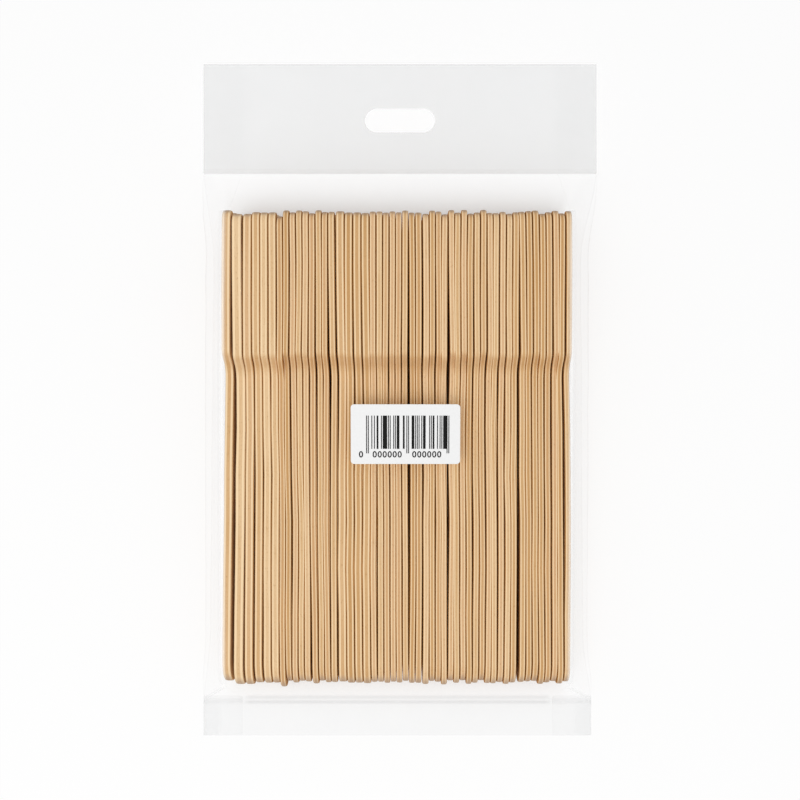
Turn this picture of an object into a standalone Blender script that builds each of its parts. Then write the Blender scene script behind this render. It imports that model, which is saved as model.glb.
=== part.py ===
"""A retail pack of fifty flat birch forks in a clear gusseted bag with a hanging header.

The pack lies on its back. X runs across the row of forks, Y from the handle ends up to the
header, and Z from the table to the front of the pack. The origin is the middle of the
footprint, on the table. Sizes are in millimetres and become metres where a mesh is made.
"""
import math
import random

import bmesh
import bpy
from mathutils import Matrix, Vector

MM = 0.001

# Solids that touch keep this much between them
CLEARANCE = 0.3

# Outline points closer than this are one point
SAME_POINT = 0.01

# One fork, flat, with its outline in length and width
FORK_LENGTH = 160.0
HEAD_WIDTH = 29.0
HEAD_LENGTH = 47.3
SHOULDER_LENGTH = 4.8
SHOULDER_RADIUS = 3.0
NECK_WIDTH = 14.6
NECK_RADIUS = 6.0
HANDLE_END_WIDTH = 18.0
TINE_COUNT = 3
TINE_SLOT_WIDTH = 4.4
TINE_SLOT_DEPTH = 25.0
TINE_SLOT_RADIUS = 1.5
TINE_TIP_RADIUS = 2.2
OUTER_TIP_RADIUS = 3.3
HANDLE_END_STEPS = 3
EDGE_STEPS = 2
TINE_STEPS = 1

# The row of forks, stood on edge
FORK_COUNT = 50
FORK_THICKNESS = 1.75
THICK_FORK_THICKNESS = 2.35
THICK_FORKS = (1, 2, 3, 4, 5, 6, 16, 17, 18, 19)
ROW_SEED = 278
LOOSE_GAP = 0.27
LENGTHWISE_SCATTER = 0.7
RECESS = 0.9
RECESSED_FORKS = (3, 7, 31)
SMALL_GAP = 0.45
SMALL_GAPS_AT_HEAD = (15, 27)
SMALL_GAPS_AT_FOOT = (2, 3, 4, 11, 15, 27)
LARGE_GAP = 1.1
LARGE_GAPS_AT_FOOT = (1, 42)
FOOT_SHIFT = -0.35

# The first forks lean outwards, each by one more step in degrees than the next
LEANING_FORKS = 2
LEAN_STEP = 1.5

# The film tube, its two welds and the flap beyond the lower one
FILM = 0.1
LAYER_GAP = 0.06
SIDE_EASE = 9.65
SIDE_STAND_OFF = 6.2
GUSSET_TUCK = 13.4
GUSSET_STAND_OFF = 0.8
TOP_EASE = 14.2
BOTTOM_EASE = 6.4
SEAL_WIDTH = 1.7
SEAL_INSET = 0.1
FLAP_HEIGHT = 12.4
WELD_LEVEL = 0.46
BACK_LIFT = 3.0
FLARE_LENGTH = 16.0
END_STAND_OFF = 1.0

# The shape of one section of the tube. A bend is a share of the way out from the ridge to the
# crease, with a share of the way down to it
LAYERS = 4
CREASE_SHARE = 0.23
RIDGE_INSET = 0.5
CLOSED_RIDGE_INSET = 0.6
FRONT_BENDS = ((0.3, 0.12), (0.75, 0.6))
BACK_BEND = (0.6, 0.35)
GUSSET_BULGE = 0.018

# How finely the film follows the forks
WRAP_SPOKES = 12
STATION_STEP = 24.0
STATION_MERGE = 0.9

# The frosted header strip and its hang slot
HEADER_FILM = 0.2
HEADER_HEIGHT = 37.4
HEADER_SHIFT = 0.9
SLOT_WIDTH = 23.9
SLOT_HEIGHT = 8.2
SLOT_BELOW_TOP = 19.3
SLOT_STEPS = 5
FOLD_STEPS = 4
CUTTER_REACH = 4.0

# The paper label on the front
LABEL_WIDTH = 36.2
LABEL_HEIGHT = 19.9
LABEL_THICKNESS = 0.12
LABEL_RADIUS = 1.1
LABEL_STEPS = 4
LABEL_BELOW_SHOULDER = 16.9
LABEL_SHIFT = 2.7


def rounded_outline(corners):
    """Turn (point, radius, steps) corners into a closed outline with an arc at each corner.

    A radius of None is the largest that half of the corner's shorter edge has room for.
    """
    outline = []
    for i, (corner, radius, steps) in enumerate(corners):
        here = Vector(corner)
        before = Vector(corners[i - 1][0]) - here
        after = Vector(corners[(i + 1) % len(corners)][0]) - here
        half_angle = before.angle(after) / 2
        room = min(before.length, after.length) / 2 * math.tan(half_angle)
        radius = room if radius is None else min(radius, room)
        before.normalize()
        after.normalize()
        reach = radius / math.tan(half_angle)
        centre = here + (before + after).normalized() * radius / math.sin(half_angle)
        start = here + before * reach - centre
        sweep = start.angle_signed(here + after * reach - centre)
        for step in range(steps + 1):
            spoke = start.copy()
            spoke.rotate(Matrix.Rotation(-sweep * step / steps, 2))
            if not outline or (centre + spoke - outline[-1]).length > SAME_POINT:
                outline.append(centre + spoke)
    if (outline[0] - outline[-1]).length < SAME_POINT:
        outline.pop()
    return outline


def fork_outline():
    """The fork seen flat: x is the distance from the handle end, y the offset from its axis."""
    half_head = HEAD_WIDTH / 2
    half_end = HANDLE_END_WIDTH / 2
    half_neck = NECK_WIDTH / 2
    tine_width = (HEAD_WIDTH - (TINE_COUNT - 1) * TINE_SLOT_WIDTH) / TINE_COUNT
    shoulder = FORK_LENGTH - HEAD_LENGTH
    neck = shoulder - SHOULDER_LENGTH
    slot_floor = FORK_LENGTH - TINE_SLOT_DEPTH
    side = [((0, half_end), None, HANDLE_END_STEPS), ((neck, half_neck), NECK_RADIUS, EDGE_STEPS),
            ((shoulder, half_head), SHOULDER_RADIUS, EDGE_STEPS)]
    corners = [((x, -y), radius, steps) for (x, y), radius, steps in side]
    for tine in range(TINE_COUNT):
        low = -half_head + tine * (tine_width + TINE_SLOT_WIDTH)
        high = low + tine_width
        for edge, outer in ((low, tine == 0), (high, tine == TINE_COUNT - 1)):
            radius, steps = (OUTER_TIP_RADIUS, EDGE_STEPS) if outer else (TINE_TIP_RADIUS, TINE_STEPS)
            corners.append(((FORK_LENGTH, edge), radius, steps))
        if tine < TINE_COUNT - 1:
            corners.append(((slot_floor, high), TINE_SLOT_RADIUS, TINE_STEPS))
            corners.append(((slot_floor, high + TINE_SLOT_WIDTH), TINE_SLOT_RADIUS, TINE_STEPS))
    return rounded_outline(corners + side[::-1])


def hull_chain(points, side):
    """The lower (side 1) or upper (side -1) chain of the points' convex hull, along +x."""
    chain = []
    for point in sorted(points, key=lambda p: (p[0], side * p[1])):
        while len(chain) > 1:
            (ax, ay), (bx, by) = chain[-2], chain[-1]
            if side * ((bx - ax) * (point[1] - ay) - (by - ay) * (point[0] - ax)) > 0:
                break
            chain.pop()
        chain.append((point[0], point[1]))
    return chain


def height_on(chain, along):
    """Height of a chain of points at a place along it."""
    for (ax, ay), (bx, by) in zip(chain, chain[1:]):
        if along <= bx:
            share = max(0.0, (along - ax) / max(bx - ax, 1e-6))
            return ay + (by - ay) * share
    return chain[-1][1]


def balance_point(outline):
    """Distance of an outline's centre of area from the handle end."""
    area = moment = 0.0
    for here, there in zip(outline, outline[1:] + outline[:1]):
        cross = here.x * there.y - there.x * here.y
        area += cross
        moment += cross * (here.x + there.x) / 3
    return moment / area


def resting_tilt(outline):
    """Tilt that lays the fork's edge on the table, on the two points either side of its balance."""
    centre = balance_point(outline)
    chain = hull_chain(outline, 1)
    for (ax, ay), (bx, by) in zip(chain, chain[1:]):
        if bx >= centre:
            return -math.atan2(by - ay, bx - ax)
    return 0.0


def smooth(share):
    """Ease a share from 0 to 1 with level ends."""
    share = min(max(share, 0.0), 1.0)
    return share * share * (3 - 2 * share)


def mix(a, b, share):
    """The value a share of the way from a to b."""
    return a + (b - a) * share


class Row:
    """Where each fork of the row stands, and the row's sides at any place along it."""

    def __init__(self):
        draw = random.Random(ROW_SEED)
        self.thickness = []
        self.head = []
        self.foot = []
        self.slide = []
        self.lean = []
        step = math.radians(LEAN_STEP)
        room_to_lean = (HANDLE_END_WIDTH / 2 + CLEARANCE) * math.sin(step)
        head = foot = 0.0
        for number in range(1, FORK_COUNT + 1):
            thick = THICK_FORK_THICKNESS if number in THICK_FORKS else FORK_THICKNESS
            self.thickness.append(thick)
            self.head.append(head + thick / 2)
            self.foot.append(foot + thick / 2)
            recess = RECESS * (number in RECESSED_FORKS)
            self.slide.append(draw.uniform(-1, 1) * LENGTHWISE_SCATTER - recess)
            self.lean.append(step * max(0, LEANING_FORKS + 1 - number))
            pitch = thick + CLEARANCE + LOOSE_GAP * draw.random() ** 2
            pitch += room_to_lean * (number <= LEANING_FORKS)
            head += pitch + SMALL_GAP * (number in SMALL_GAPS_AT_HEAD)
            foot += (pitch + SMALL_GAP * (number in SMALL_GAPS_AT_FOOT)
                     + LARGE_GAP * (number in LARGE_GAPS_AT_FOOT))
        self.centre(self.head, 1, 0.0)
        self.centre(self.foot, 0, FOOT_SHIFT)

    def half_width(self, index, share):
        """How far a fork's top edge stands out from its place, from foot 0 to head 1."""
        height = mix(HANDLE_END_WIDTH / 2, HEAD_WIDTH - HANDLE_END_WIDTH / 2, share)
        return self.thickness[index] / 2 + height * math.sin(self.lean[index])

    def centre(self, places, share, shift):
        """Move a line of places so that the row's two outer faces are centred on a shift."""
        low = places[0] - self.half_width(0, share)
        high = places[-1] + self.half_width(-1, share)
        for index in range(len(places)):
            places[index] += shift - (low + high) / 2

    def outer_face(self, side, share):
        """Outer face of the first (side -1) or last (side 1) fork, from foot 0 to head 1."""
        index = 0 if side < 0 else -1
        place = mix(self.foot[index], self.head[index], share)
        return place + side * self.half_width(index, share)

    def width(self):
        """Width of the row at the heads."""
        return self.outer_face(1, 1) - self.outer_face(-1, 1)


class Bag:
    """The film's sections, from the flap's free edge up to the top of the header."""

    def __init__(self, row):
        self.row = row
        self.layer = FILM + LAYER_GAP
        self.half_stack = (LAYERS - 1) / 2 * self.layer
        self.flat_half = row.width() / 2 + SIDE_EASE
        self.outline = fork_outline()
        self.tilt = resting_tilt(self.outline)
        length = FLAP_HEIGHT + BOTTOM_EASE + FORK_LENGTH + TOP_EASE + HEADER_HEIGHT
        self.flap_end = -length / 2
        self.seal = self.flap_end + FLAP_HEIGHT
        self.fork_end = self.seal + BOTTOM_EASE
        self.fork_tip = self.fork_end + FORK_LENGTH
        self.weld = self.fork_tip + TOP_EASE
        self.header_top = self.weld + HEADER_HEIGHT
        self.film_top = self.header_top - HEADER_FILM - 2 * CLEARANCE
        self.axis_shift = -HEADER_SHIFT / 2
        self.rest_height = FILM + CLEARANCE
        self.lift = self.fork_lift()
        self.solve_profile()

    def fork_lift(self):
        """Height of the handle end's middle that sets the tilted fork down on the film."""
        lowest = min(self.tilted(p)[1] for p in self.outline)
        return self.rest_height - lowest

    def tilted(self, point, lift=0.0, slide=0.0):
        """An outline point in the pack's length and height."""
        along = point[0] * math.cos(self.tilt) - point[1] * math.sin(self.tilt)
        height = point[0] * math.sin(self.tilt) + point[1] * math.cos(self.tilt)
        return self.fork_end + slide + along, height + lift

    def solve_profile(self):
        """Stretch the front and back film over the forks, from the lower seal to the weld."""
        reach = CLEARANCE + FILM / 2
        spokes = [(reach * math.cos(a), reach * math.sin(a))
                  for a in (math.tau * k / WRAP_SPOKES for k in range(WRAP_SPOKES))]
        around = []
        for slide in (min(self.row.slide), max(self.row.slide)):
            for point in self.outline:
                along, height = self.tilted(point, self.lift, slide)
                around += [(along + dx, height + dz) for dx, dz in spokes]
        front = max(height for along, height in around)
        foot_front = max(z for y, z in around if y < self.fork_end + HANDLE_END_WIDTH / 2)
        self.weld_height = front * WELD_LEVEL
        self.seal_height = foot_front * WELD_LEVEL
        inner_seal = self.seal + SEAL_WIDTH / 2
        ends = [(inner_seal, self.seal_height), (self.weld, self.weld_height)]
        table = FILM / 2
        self.front_chain = hull_chain(around + [(y, z + self.half_stack) for y, z in ends], -1)
        on_table = [(self.fork_tip - BACK_LIFT, table),
                    (self.fork_end + HANDLE_END_WIDTH / 2, table)]
        below = [(y, z - self.half_stack) for y, z in ends]
        self.back_chain = hull_chain(around + on_table + below, 1)

    def stations(self):
        """Places along the bag where the film gets a section."""
        bends = [y for y, z in self.front_chain + self.back_chain]
        bends += [self.fork_tip + END_STAND_OFF, self.fork_tip - FLARE_LENGTH,
                  self.fork_end - END_STAND_OFF, self.fork_end + FLARE_LENGTH]
        bends = sorted(y for y in bends if self.seal + SEAL_WIDTH / 2 < y < self.weld)
        fixed = [self.flap_end, self.seal - SEAL_WIDTH / 2, self.seal + SEAL_WIDTH / 2]
        places = list(fixed)
        for bend in bends + [self.weld]:
            if bend - places[-1] < STATION_MERGE and bend != self.weld:
                continue
            steps = max(1, math.ceil((bend - places[-1]) / STATION_STEP))
            start = places[-1]
            places += [mix(start, bend, k / steps) for k in range(1, steps + 1)]
        return places + [self.film_top]

    def section(self, y):
        """One closed section of the film's middle surface at a place along the bag."""
        front = height_on(self.front_chain, y)
        back = height_on(self.back_chain, y)
        top = self.fork_tip + END_STAND_OFF
        bottom = self.fork_end - END_STAND_OFF
        to_weld = (y - top) / (self.weld - top)
        to_seal = (bottom - y) / (bottom - self.seal - SEAL_WIDTH / 2)
        closing = min(max(to_weld, to_seal, 0.0), 1.0)
        flare_top = (y - self.fork_tip + FLARE_LENGTH) / (self.weld - self.fork_tip + FLARE_LENGTH)
        flare_end = (self.fork_end + FLARE_LENGTH - y) / (self.fork_end + FLARE_LENGTH - self.seal)
        flare = smooth(max(flare_top, flare_end))
        axis = self.axis_shift + HEADER_SHIFT * smooth(flare_top)
        right = self.side_points(1, y, front, back, closing, flare)
        left = self.side_points(-1, y, front, back, closing, flare)
        loop = right + left[::-1]
        return [(axis + x, y, z) for x, z in loop]

    def side_points(self, side, y, front, back, closing, flare):
        """The film down one side: ridge, front crease, tucked gusset, back crease, table."""
        share = (y - self.fork_end) / FORK_LENGTH
        face = abs(self.row.outer_face(side, min(max(share, 0.0), 1.0)))
        depth = front - back - 2 * self.half_stack
        crease = mix(face + SIDE_STAND_OFF, self.flat_half, flare)
        ridge = mix(face + CLEARANCE + FILM, crease - CLOSED_RIDGE_INSET, closing)
        fold = mix(face + GUSSET_STAND_OFF, self.flat_half - GUSSET_TUCK, closing)
        upper = front - CREASE_SHARE * depth
        lower = back + CREASE_SHARE * depth
        middle = (front + back) / 2
        half_way = mix(crease, fold, 0.5) - GUSSET_BULGE * depth * (1 - closing)
        points = [(ridge - RIDGE_INSET, front)]
        points += [(mix(ridge, crease, out), mix(front, upper, down)) for out, down in FRONT_BENDS]
        points += [(crease, upper),
                   (crease, upper - self.layer),
                   (half_way, mix(upper, middle, 0.5)),
                   (fold, middle + self.layer / 2),
                   (fold, middle - self.layer / 2),
                   (half_way, mix(lower, middle, 0.5)),
                   (crease, lower + self.layer),
                   (crease, lower),
                   (mix(ridge, crease, BACK_BEND[0]), mix(back, lower, BACK_BEND[1])),
                   (ridge - RIDGE_INSET, back)]
        return [(side * x, z) for x, z in points]


def metres(points):
    """Points in millimetres as vectors in metres."""
    return [Vector(point) * MM for point in points]


def finish(mesh, name, material):
    """Put a bmesh into a named object of the scene, in metres."""
    bmesh.ops.recalc_face_normals(mesh, faces=mesh.faces)
    data = bpy.data.meshes.new(name)
    mesh.to_mesh(data)
    mesh.free()
    data.materials.append(material)
    thing = bpy.data.objects.new(name, data)
    bpy.context.scene.collection.objects.link(thing)
    return thing


def slab(outline, low, high):
    """A bmesh plate with the given outline, from one depth along the plate's normal to another."""
    mesh = bmesh.new()
    ring = [mesh.verts.new(p) for p in outline(low)]
    face = mesh.faces.new(ring)
    grown = bmesh.ops.extrude_face_region(mesh, geom=[face])
    moved = [v for v in grown["geom"] if isinstance(v, bmesh.types.BMVert)]
    shift = Vector(outline(high)[0]) - Vector(outline(low)[0])
    bmesh.ops.translate(mesh, verts=moved, vec=shift)
    return mesh


def material(name, colour, roughness, alpha=1.0):
    """A Principled material with a plain colour."""
    finish_of = bpy.data.materials.new(name)
    finish_of.use_nodes = True
    shader = finish_of.node_tree.nodes["Principled BSDF"]
    shader.inputs["Base Color"].default_value = (*colour, 1.0)
    shader.inputs["Roughness"].default_value = roughness
    shader.inputs["Metallic"].default_value = 0.0
    shader.inputs["Alpha"].default_value = alpha
    return finish_of


def fork_mesh(name, outline, thickness, wood):
    """Mesh data of a fork on edge: length along Y, width along Z, thickness along X."""
    def flat(depth):
        return metres((depth, p.x, p.y) for p in outline)
    mesh = slab(flat, -thickness / 2, thickness / 2)
    bmesh.ops.recalc_face_normals(mesh, faces=mesh.faces)
    data = bpy.data.meshes.new(name)
    mesh.to_mesh(data)
    mesh.free()
    data.materials.append(wood)
    return data


def build_forks(row, bag, wood):
    """Stand the forks on edge in a row, each turned a little to reach its foot and head."""
    parent = bpy.data.objects.new("fork_row", None)
    parent.location = Vector((bag.axis_shift, bag.fork_end, bag.lift)) * MM
    bpy.context.scene.collection.objects.link(parent)
    shapes = {thick: fork_mesh("fork", bag.outline, thick, wood)
              for thick in sorted(set(row.thickness))}
    for index, thick in enumerate(row.thickness):
        fork = bpy.data.objects.new(f"fork_{index + 1:02d}", shapes[thick])
        turn = math.atan2(row.foot[index] - row.head[index], FORK_LENGTH)
        fork.parent = parent
        fork.location = Vector((row.foot[index], row.slide[index], 0.0)) * MM
        fork.rotation_euler = (bag.tilt, -row.lean[index], turn)
        bpy.context.scene.collection.objects.link(fork)


def guide(mesh, name, material_of):
    """A cutter or filler that other objects use and that is not part of the pack."""
    thing = finish(mesh, name, material_of)
    thing.hide_render = True
    thing.display_type = "WIRE"
    return thing


def add_boolean(thing, operand, operation):
    """Cut a guide from an object, or join it on."""
    cut = thing.modifiers.new(operand.name, "BOOLEAN")
    cut.operation = operation
    cut.solver = "EXACT"
    cut.object = operand


def slot_cutter(bag, helper):
    """A round-ended bar where the hang slot goes through header and film."""
    middle = bag.header_top - SLOT_BELOW_TOP
    axis = bag.axis_shift + HEADER_SHIFT
    half = SLOT_WIDTH / 2
    rise = SLOT_HEIGHT / 2
    corners = [(axis - half, middle - rise), (axis + half, middle - rise),
               (axis + half, middle + rise), (axis - half, middle + rise)]
    outline = rounded_outline([(corner, None, SLOT_STEPS) for corner in corners])

    def flat(height):
        return metres((p.x, p.y, height) for p in outline)
    low = bag.weld_height - CUTTER_REACH
    return guide(slab(flat, low, bag.weld_height + CUTTER_REACH), "slot_cutter", helper)


def seal_filler(bag, helper):
    """The bar of melted film that joins all the layers at the lower seal."""
    half = bag.flat_half
    thick = LAYERS / 2 * bag.layer
    low = bag.seal - SEAL_WIDTH / 2 + SEAL_INSET
    high = bag.seal + SEAL_WIDTH / 2 - SEAL_INSET
    outline = [(-half, low), (half, low), (half, high), (-half, high)]

    def flat(height):
        return metres((bag.axis_shift + x, y, height) for x, y in outline)
    return guide(slab(flat, bag.seal_height - thick, bag.seal_height + thick), "seal_filler", helper)


def build_film(bag, film, slot, helper):
    """Loft the film tube through its sections, thicken it, cut the slot and fuse the seal."""
    mesh = bmesh.new()
    rings = [[mesh.verts.new(p) for p in metres(bag.section(y))] for y in bag.stations()]
    for low, high in zip(rings, rings[1:]):
        for i in range(len(low)):
            j = (i + 1) % len(low)
            mesh.faces.new((low[i], low[j], high[j], high[i]))
    tube = finish(mesh, "bag_film", film)
    wall = tube.modifiers.new("wall", "SOLIDIFY")
    wall.thickness = FILM * MM
    wall.offset = 0.0
    wall.use_even_offset = True
    add_boolean(tube, slot, "DIFFERENCE")
    add_boolean(tube, seal_filler(bag, helper), "UNION")


def build_header(bag, frosted, slot):
    """Fold the header strip over the bag's top and cut the hang slot."""
    inner = bag.half_stack + FILM / 2 + CLEARANCE
    outer = inner + HEADER_FILM
    top = bag.header_top
    bend = [math.pi * k / FOLD_STEPS - math.pi / 2 for k in range(FOLD_STEPS + 1)]
    outside = [(top - outer + outer * math.cos(a), outer * math.sin(a)) for a in bend]
    inside = [(top - outer + inner * math.cos(a), inner * math.sin(a)) for a in bend]
    profile = ([(bag.weld, -outer)] + outside + [(bag.weld, outer), (bag.weld, inner)]
               + inside[::-1] + [(bag.weld, -inner)])
    axis = bag.axis_shift + HEADER_SHIFT

    def flat(across):
        return metres((axis + across, y, bag.weld_height + z) for y, z in profile)
    strip = finish(slab(flat, -bag.flat_half, bag.flat_half), "header_strip", frosted)
    add_boolean(strip, slot, "DIFFERENCE")


def build_label(bag, paper):
    """Lay the label on the flat front film below the fork heads."""
    shoulder = bag.fork_end + FORK_LENGTH - HEAD_LENGTH
    top = shoulder - LABEL_BELOW_SHOULDER
    low = top - LABEL_HEIGHT
    lift = FILM / 2 + CLEARANCE
    z_top = height_on(bag.front_chain, top) + lift
    z_low = height_on(bag.front_chain, low) + lift
    half = LABEL_WIDTH / 2
    corners = [(-half, 0.0), (half, 0.0), (half, LABEL_HEIGHT), (-half, LABEL_HEIGHT)]
    outline = rounded_outline([(corner, LABEL_RADIUS, LABEL_STEPS) for corner in corners])

    def flat(height):
        return metres((p.x, p.y, height) for p in outline)
    label = finish(slab(flat, 0.0, LABEL_THICKNESS), "label", paper)
    label.location = Vector((bag.axis_shift + LABEL_SHIFT, low, z_low)) * MM
    label.rotation_euler = (math.atan2(z_top - z_low, top - low), 0.0, 0.0)


def main():
    for thing in list(bpy.data.objects):
        bpy.data.objects.remove(thing, do_unlink=True)
    wood = material("birch", (0.76, 0.56, 0.34), 0.65)
    film = material("clear_film", (0.85, 0.86, 0.87), 0.15, 0.3)
    frosted = material("frosted_film", (0.80, 0.81, 0.82), 0.35, 0.6)
    paper = material("label_paper", (0.90, 0.90, 0.88), 0.6)
    helper = material("guide", (1.0, 0.3, 0.1), 0.5)
    row = Row()
    bag = Bag(row)
    build_forks(row, bag, wood)
    slot = slot_cutter(bag, helper)
    build_film(bag, film, slot, helper)
    build_header(bag, frosted, slot)
    build_label(bag, paper)


main()
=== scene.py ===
# %% [markdown]
# # A pack of fifty wooden forks in a clear header bag
#
# The pack lies on its back on a white table. Fifty flat birch forks stand on edge in one row,
# with their heads towards the top. A clear film tube with tucked sides wraps them. A frosted strip
# folds over the tube's top as a header with a hang slot, and a small paper label sits in front.
#
# The solids already exist, and this script dresses them. It makes each visible piece again with
# the detail that the eye expects, and it writes every finish as shader nodes.

# %% Load the solids
import math
import random
from collections import namedtuple

import bmesh
import bpy
import numpy as np
from mathutils import Matrix, Vector, noise


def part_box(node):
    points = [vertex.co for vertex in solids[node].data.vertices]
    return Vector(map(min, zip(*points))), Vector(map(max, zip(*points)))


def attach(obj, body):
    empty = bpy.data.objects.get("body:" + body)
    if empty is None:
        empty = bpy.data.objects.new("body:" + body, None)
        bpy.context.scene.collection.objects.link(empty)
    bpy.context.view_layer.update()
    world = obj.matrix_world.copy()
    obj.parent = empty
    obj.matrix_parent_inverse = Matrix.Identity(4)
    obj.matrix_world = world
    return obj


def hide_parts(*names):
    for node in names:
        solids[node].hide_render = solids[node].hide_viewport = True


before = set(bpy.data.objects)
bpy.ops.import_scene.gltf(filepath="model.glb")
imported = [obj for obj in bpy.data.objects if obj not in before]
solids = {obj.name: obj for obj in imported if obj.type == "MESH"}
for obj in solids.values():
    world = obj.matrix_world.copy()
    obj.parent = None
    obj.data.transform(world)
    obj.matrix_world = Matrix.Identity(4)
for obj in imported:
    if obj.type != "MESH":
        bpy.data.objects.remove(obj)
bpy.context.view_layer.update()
fork_names = sorted(name for name in solids if name.startswith("fork_"))
print("solids:", len(solids), "of them forks:", len(fork_names))

# %% [markdown]
# ## Sizes
#
# Lengths are in millimetres, because that is how packaging is drawn. They become metres only where
# a mesh is made. The sizes below are those that the solids were drawn with. Places are measured on
# the solids, so that the finished pieces sit where those are.

# %% Sizes that the solids were drawn with, in millimetres
MM = 0.001
CLEARANCE = 0.3

FORK_LENGTH = 160.0
HEAD_WIDTH = 29.0
HEAD_LENGTH = 47.3
SHOULDER_LENGTH = 4.8
SHOULDER_RADIUS = 3.0
NECK_WIDTH = 14.6
NECK_RADIUS = 6.0
HANDLE_END_WIDTH = 18.0
TINE_COUNT = 3
TINE_SLOT_WIDTH = 4.4
TINE_SLOT_DEPTH = 25.0
TINE_SLOT_RADIUS = 1.9
TINE_TIP_RADIUS = 2.2
OUTER_TIP_RADIUS = 3.3

FILM = 0.1
LAYER = 0.16
SIDE_STAND_OFF = 6.2
GUSSET_TUCK = 13.4
GUSSET_STAND_OFF = 0.8
BOTTOM_EASE = 6.4
SEAL_WIDTH = 1.7
FLAP_HEIGHT = 12.4
WELD_LEVEL = 0.46
BACK_LIFT = 3.0
FLARE_LENGTH = 16.0
END_STAND_OFF = 1.0
CREASE_SHARE = 0.23
HALF_STACK = 1.5 * LAYER

SLOT_WIDTH = 23.9
SLOT_HEIGHT = 8.2
SLOT_BELOW_TOP = 19.3


def box_in_mm(name):
    """The lowest and highest corner of a solid, in millimetres."""
    low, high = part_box(name)
    return low / MM, high / MM


strip_low, strip_high = box_in_mm("header_strip")
print("header strip:", [round(c, 2) for c in (*strip_low, *strip_high)])

# %% [markdown]
# ## A small language for nodes
#
# Shader and geometry trees are easier to read as formulas. `Wire` wraps one socket, and its
# arithmetic adds Math nodes. `Tree.node` adds any other node: first its settings, then the values
# or wires of its inputs.


# %% Wires and trees
class Wire:
    """One output socket. Arithmetic on it adds Math nodes to its tree."""

    def __init__(self, tree, socket):
        self.tree = tree
        self.socket = socket

    def math(self, operation, *values):
        return self.tree.node("ShaderNodeMath", {"operation": operation}, dict(enumerate(values)))

    def __add__(self, other):
        return self.math("ADD", self, other)

    def __sub__(self, other):
        return self.math("SUBTRACT", self, other)

    def __rsub__(self, other):
        return self.math("SUBTRACT", other, self)

    def __mul__(self, other):
        return self.math("MULTIPLY", self, other)

    def __truediv__(self, other):
        return self.math("DIVIDE", self, other)

    def __abs__(self):
        return self.math("ABSOLUTE", self)

    __radd__ = __add__
    __rmul__ = __mul__


def socket_of(sockets, key):
    """The socket in use with this name or number."""
    used = [socket for socket in sockets if socket.enabled]
    return used[key] if isinstance(key, int) else next(s for s in used if s.name == key)


class Tree:
    """A node tree that is written as Python expressions."""

    def __init__(self, tree):
        self.tree = tree
        self.tree.nodes.clear()

    def node(self, kind, settings=None, inputs=None, output=0):
        """Add a node: its settings come first, then its inputs by name or by number."""
        made = self.tree.nodes.new(kind)
        for name, value in (settings or {}).items():
            if name == "stops":
                stops = made.color_ramp.elements
                while len(stops) < len(value):
                    stops.new(1.0)
                for stop, (place, colour) in zip(stops, value):
                    stop.position, stop.color = place, (*colour, 1.0)
            else:
                setattr(made, name, value)
        for key, value in (inputs or {}).items():
            socket = socket_of(made.inputs, key)
            if isinstance(value, Wire):
                self.tree.links.new(value.socket, socket)
            elif isinstance(value, tuple) and len(value) < len(socket.default_value):
                socket.default_value = (*value, 1.0)
            else:
                socket.default_value = value
        return Wire(self, socket_of(made.outputs, output)) if made.outputs else None

    def part(self, vector, axis):
        """One of a vector's three numbers."""
        return self.node("ShaderNodeSeparateXYZ", None, {0: vector}, axis)

    def vector(self, *numbers):
        """A vector whose missing numbers are zero."""
        return self.node("ShaderNodeCombineXYZ", None, dict(enumerate(numbers)))

    def noise(self, vector, scale, detail, roughness=0.5):
        """A cloud of values between 0 and 1."""
        return self.node("ShaderNodeTexNoise", None, {
            "Vector": vector, "Scale": scale, "Detail": detail, "Roughness": roughness}, "Fac")

    def banded(self, value, low, high):
        """0 at one value, changing smoothly to 1 at the other."""
        return self.node("ShaderNodeMapRange", {"interpolation_type": "SMOOTHSTEP"},
                         {"Value": value, "From Min": low, "From Max": high})

    def near(self, distance, width):
        """1 at no distance, falling to 0 at a width."""
        return self.banded(distance, width, 0.0)

    def mixed(self, factor, a, b):
        """A colour part of the way from one to another."""
        return self.node("ShaderNodeMix", {"data_type": "RGBA"}, {"Factor": factor, "A": a, "B": b})

    def bump(self, height, strength, distance):
        """A surface normal that follows a height."""
        return self.node("ShaderNodeBump", None, {
            "Strength": strength, "Distance": distance, "Height": height})

    def position(self):
        """Where a point lies on its piece, in metres."""
        return self.node("ShaderNodeTexCoord", output="Object")

    def attribute(self, name):
        """A number that a mesh carries for its shader."""
        return self.node("ShaderNodeAttribute", {"attribute_name": name}, output="Fac")

    def given(self, name):
        """A named input of a Geometry Nodes tree."""
        return self.node("NodeGroupInput", output=name)

    def stored(self, name, kind="FLOAT"):
        """A number that a mesh carries, read in a Geometry Nodes tree."""
        return self.node("GeometryNodeInputNamedAttribute", {"data_type": kind}, {"Name": name})


# %% [markdown]
# ## From trees to finishes and pieces
#
# A finish is a function that gets an empty tree and returns its surface shader, and a repeated
# shape is one that returns geometry. The helpers below add what is the same each time: the output
# node, the link to the scene, and the plain mesh, because live modifiers aren't handed on.


# %% Finishes and pieces
def finish_from(name, surface):
    """A material from a function that returns its surface shader."""
    finish = bpy.data.materials.new(name)
    finish.use_nodes = True
    tree = Tree(finish.node_tree)
    tree.node("ShaderNodeOutputMaterial", None, {"Surface": surface(tree)})
    print(name, "finish has", len(finish.node_tree.nodes), "nodes")
    return finish


def linked(name, data):
    """An object in the scene."""
    thing = bpy.data.objects.new(name, data)
    bpy.context.scene.collection.objects.link(thing)
    return thing


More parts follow.
